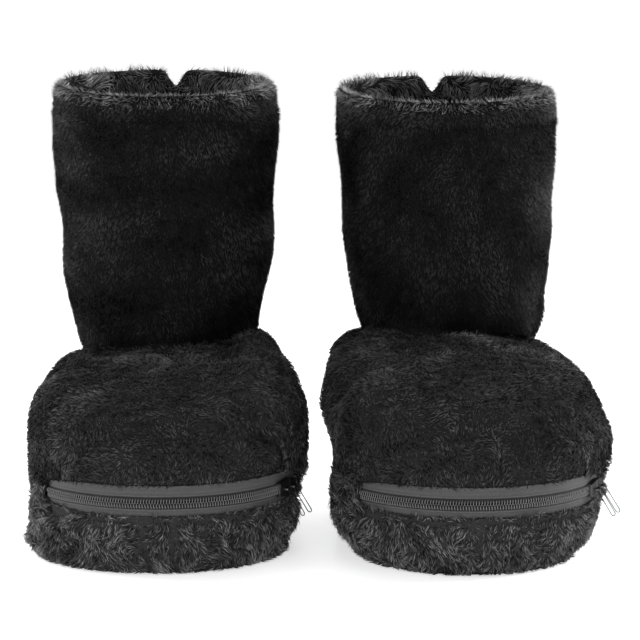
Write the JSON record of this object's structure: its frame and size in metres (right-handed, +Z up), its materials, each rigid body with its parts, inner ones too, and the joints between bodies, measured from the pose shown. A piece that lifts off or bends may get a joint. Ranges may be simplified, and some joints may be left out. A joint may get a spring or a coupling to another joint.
{
  "type": "electric foot warmer",
  "caption": "Tall heated plush boots with rolled collars notched at the back, and a zip across each toe that closes with head-to-head sliders.",
  "frame": {"origin": "on the floor, under the middle of the pair's box", "axes": "+X across the pair, towards the boot that stands on the right in the picture; toes towards -Y; +Z up"},
  "size_m": [0.4052, 0.3076, 0.314],
  "materials": {
    "outer_plush": "long matt pile",
    "lining_plush": "clumped matt pile",
    "foam": "open-cell foam",
    "outsole_rubber": "matt",
    "felt": "needle felt",
    "zip_tape": "woven",
    "zip_nylon": "satin",
    "zip_metal": "dark plated",
    "wire_sleeve": "silicone",
    "black_plastic": "moulded"
  },
  "bodies": {
    "boots": {"left_outsole": "outsole_rubber", "left_sole_wall": "outer_plush", "left_wall_padding": "foam", "left_foam_bed": "foam", "left_heating_sheet": "felt", "left_heating_wire": "wire_sleeve", "left_thermal_cutout": "black_plastic", "left_lead_one": "wire_sleeve", "left_lead_two": "wire_sleeve", "left_dc_socket": "black_plastic", "left_socket_nut": "zip_metal", "left_footbed": "lining_plush", "left_vamp_plush": "outer_plush", "left_vamp_lining": "lining_plush", "left_shaft_plush": "outer_plush", "left_shaft_lining": "lining_plush", "left_collar": "outer_plush", "left_lower_tape": "zip_tape", "left_upper_tape": "zip_tape", "left_lower_teeth": "zip_nylon", "left_upper_teeth": "zip_nylon", "left_far_stop": "zip_metal", "left_near_stop": "zip_metal", "right_outsole": "outsole_rubber", "right_sole_wall": "outer_plush", "right_wall_padding": "foam", "right_foam_bed": "foam", "right_heating_sheet": "felt", "right_heating_wire": "wire_sleeve", "right_thermal_cutout": "black_plastic", "right_lead_one": "wire_sleeve", "right_lead_two": "wire_sleeve", "right_dc_socket": "black_plastic", "right_socket_nut": "zip_metal", "right_footbed": "lining_plush", "right_vamp_plush": "outer_plush", "right_vamp_lining": "lining_plush", "right_shaft_plush": "outer_plush", "right_shaft_lining": "lining_plush", "right_collar": "outer_plush", "right_lower_tape": "zip_tape", "right_upper_tape": "zip_tape", "right_lower_teeth": "zip_nylon", "right_upper_teeth": "zip_nylon", "right_far_stop": "zip_metal", "right_near_stop": "zip_metal"},
    "left_slider_a": {"left_slider_a": "zip_metal"},
    "left_pull_a": {"left_pull_a": "zip_metal"},
    "left_slider_b": {"left_slider_b": "zip_metal"},
    "left_pull_b": {"left_pull_b": "zip_metal"},
    "right_slider_a": {"right_slider_a": "zip_metal"},
    "right_pull_a": {"right_pull_a": "zip_metal"},
    "right_slider_b": {"right_slider_b": "zip_metal"},
    "right_pull_b": {"right_pull_b": "zip_metal"}
  },
  "joints": [
    {"name": "left_slider_a_run", "type": "hinge", "parent": "boots", "child": "left_slider_a", "pos_m": [-0.1072, -0.05807, 0.05], "axis": [0, 0, 1], "range_deg": [-114.5, 0], "deforming": ["left_lower_teeth", "left_upper_teeth"]},
    {"name": "left_pull_a_swing", "type": "hinge", "parent": "left_slider_a", "child": "left_pull_a", "pos_m": [-0.02016, -0.09741, 0.05], "axis": [-0.4289, -0.9033, 0], "range_deg": [0, 125]},
    {"name": "left_slider_b_run", "type": "hinge", "parent": "boots", "child": "left_slider_b", "pos_m": [-0.1072, -0.05807, 0.05], "axis": [0, 0, 1], "range_deg": [0, 7.5]},
    {"name": "left_pull_b_swing", "type": "hinge", "parent": "left_slider_b", "child": "left_pull_b", "pos_m": [-0.0164, -0.08772, 0.05], "axis": [-0.2924, -0.9563, 0], "range_deg": [0, 125]},
    {"name": "right_slider_a_run", "type": "hinge", "parent": "boots", "child": "right_slider_a", "pos_m": [0.0988, -0.05807, 0.05], "axis": [0, 0, 1], "range_deg": [-114.5, 0], "deforming": ["right_lower_teeth", "right_upper_teeth"]},
    {"name": "right_pull_a_swing", "type": "hinge", "parent": "right_slider_a", "child": "right_pull_a", "pos_m": [0.18753, -0.09342, 0.05], "axis": [-0.3875, -0.9219, 0], "range_deg": [0, 125]},
    {"name": "right_slider_b_run", "type": "hinge", "parent": "boots", "child": "right_slider_b", "pos_m": [0.0988, -0.05807, 0.05], "axis": [0, 0, 1], "range_deg": [0, 7.5]},
    {"name": "right_pull_b_swing", "type": "hinge", "parent": "right_slider_b", "child": "right_pull_b", "pos_m": [0.19085, -0.08357, 0.05], "axis": [-0.2487, -0.9686, 0], "range_deg": [0, 125]}
  ]
}
